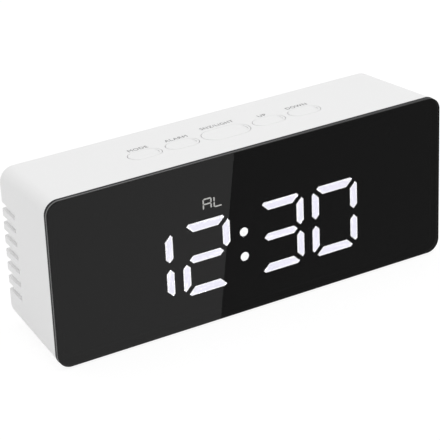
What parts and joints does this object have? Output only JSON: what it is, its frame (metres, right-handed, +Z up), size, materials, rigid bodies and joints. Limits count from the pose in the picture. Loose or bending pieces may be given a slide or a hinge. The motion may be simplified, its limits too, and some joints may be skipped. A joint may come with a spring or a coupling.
{
  "type": "digital alarm clock",
  "caption": "Table alarm clock: black mirror front with lit digits, white drafted housing, flush top keys, rear battery door and power inlet.",
  "frame": {"origin": "middle of the bounding box on the table, under the body", "axes": "+X to the right seen from the front, +Y to the rear, +Z up; the display faces -Y"},
  "size_m": [0.14, 0.0364, 0.055],
  "materials": {
    "housing": "fine satin white ABS",
    "key": "fine satin white ABS",
    "mirror_panel": "polished half-mirror acrylic, black",
    "tape": "foam tape",
    "light_box": "matt black",
    "lit_segment": "lit from behind, faintly lavender white",
    "dark_segment": "unlit translucent insert",
    "alarm_indicator": "lit from behind, dull white",
    "led": "small light source with yellow phosphor",
    "board": "green solder mask",
    "black_plastic": "moulded black",
    "bright_metal": "nickel plated",
    "brass_contact": "plain",
    "capacitor": "sleeved can",
    "bead": "dipped bead",
    "plunger": "moulded red",
    "cell": "plain sleeve",
    "lead": "insulated wire",
    "foot": "matt rubber",
    "print": "grey pad-printed ink of the key names"
  },
  "bodies": {
    "clock": {"housing": "housing", "mirror_panel": "mirror_panel", "panel_tape": "tape", "light_box": "light_box", "lit_segments": "lit_segment", "unlit_segments": "dark_segment", "colon_dots": "lit_segment", "alarm_indicator": "alarm_indicator", "segment_leds": "led", "main_board": "board", "driver_chip": "black_plastic", "crystal": "bright_metal", "capacitors": "capacitor", "buzzer": "black_plastic", "thermistor": "bead", "board_screws": "bright_metal", "key_board": "board", "key_header": "black_plastic", "switch_bodies": "black_plastic", "battery_upper": "cell", "battery_middle": "cell", "battery_lower": "cell", "positive_contact": "brass_contact", "negative_contact": "bright_metal", "left_link": "bright_metal", "right_link": "bright_metal", "battery_leads": "lead", "power_board": "board", "power_screws": "bright_metal", "inlet_shell": "bright_metal", "inlet_tongue": "black_plastic", "inlet_leads": "lead", "foot_front_left": "foot", "foot_front_right": "foot", "foot_rear_left": "foot", "foot_rear_right": "foot"},
    "mode_button": {"mode_key": "key", "mode_plunger": "plunger"},
    "alarm_button": {"alarm_key": "key", "alarm_plunger": "plunger"},
    "snooze_button": {"snooze_key": "key", "snooze_plunger": "plunger"},
    "up_button": {"up_key": "key", "up_plunger": "plunger"},
    "down_button": {"down_key": "key", "down_plunger": "plunger"},
    "door": {"battery_door": "housing"}
  },
  "joints": [
    {"name": "mode_press", "type": "slide", "parent": "clock", "child": "mode_button", "axis": [0, 0, -1], "range_m": [0, 0.0005], "stiffness_N_per_m": 1500},
    {"name": "alarm_press", "type": "slide", "parent": "clock", "child": "alarm_button", "axis": [0, 0, -1], "range_m": [0, 0.0005], "stiffness_N_per_m": 1500},
    {"name": "snooze_press", "type": "slide", "parent": "clock", "child": "snooze_button", "axis": [0, 0, -1], "range_m": [0, 0.0005], "stiffness_N_per_m": 1500},
    {"name": "up_press", "type": "slide", "parent": "clock", "child": "up_button", "axis": [0, 0, -1], "range_m": [0, 0.0005], "stiffness_N_per_m": 1500},
    {"name": "down_press", "type": "slide", "parent": "clock", "child": "down_button", "axis": [0, 0, -1], "range_m": [0, 0.0005], "stiffness_N_per_m": 1500},
    {"name": "door_tilt", "type": "hinge", "parent": "clock", "child": "door", "pos_m": [0, 0.0173, 0.01065], "axis": [-1, 0, 0], "range_deg": [0, 40]}
  ]
}
